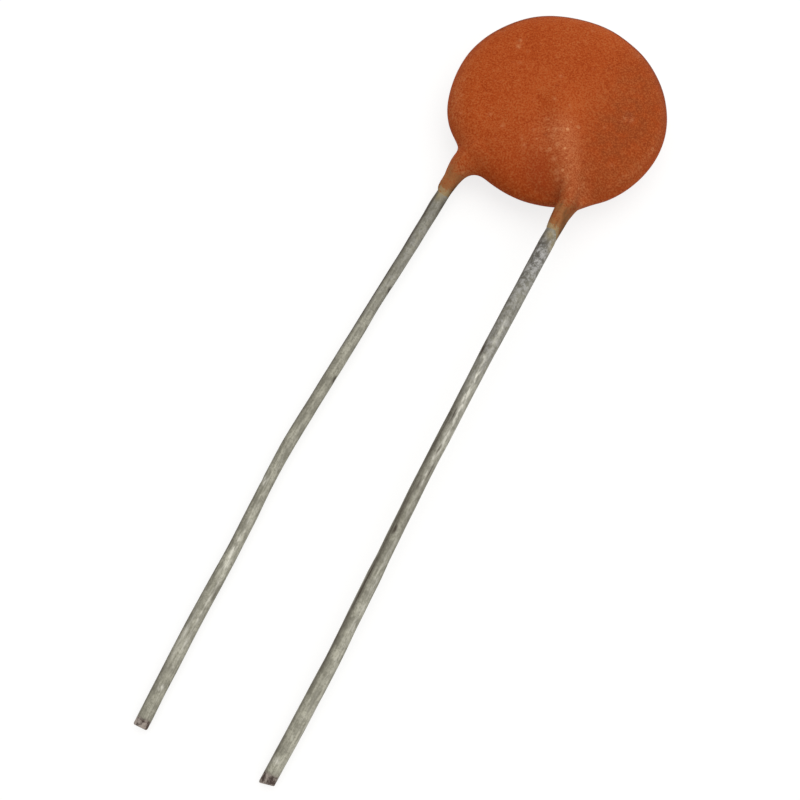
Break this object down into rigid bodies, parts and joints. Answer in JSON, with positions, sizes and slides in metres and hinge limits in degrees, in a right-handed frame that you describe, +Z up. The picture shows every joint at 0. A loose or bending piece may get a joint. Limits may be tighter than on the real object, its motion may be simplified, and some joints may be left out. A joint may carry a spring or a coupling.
{
  "type": "ceramic disc capacitor",
  "caption": "Flat round coated ceramic capacitor with parallel radial wire leads, for decoupling, filtering and timing in through-hole circuits.",
  "frame": {"origin": "on the surface the part lies on, under the middle of the outline seen from above", "axes": "+Z up, along the disc's axis, out of the face with the visible lead ridge; -Y along the leads from the disc to their cut ends; +X across the pair of leads"},
  "size_m": [0.0092, 0.0342, 0.0024],
  "materials": {
    "coating": "matte orange-brown dip-coated phenolic resin",
    "ceramic": "unglazed fired dielectric ceramic, hidden under the coating",
    "electrode": "fired-on silver paste, dull",
    "solder": "tin-lead solder, satin",
    "lead": "dull, oxidised tin plate on drawn wire"
  },
  "bodies": {
    "root": {"coating": "coating", "ceramic_disc": "ceramic", "front_electrode": "electrode", "rear_electrode": "electrode", "front_solder": "solder", "rear_solder": "solder", "front_lead": "lead", "rear_lead": "lead"}
  },
  "joints": []
}
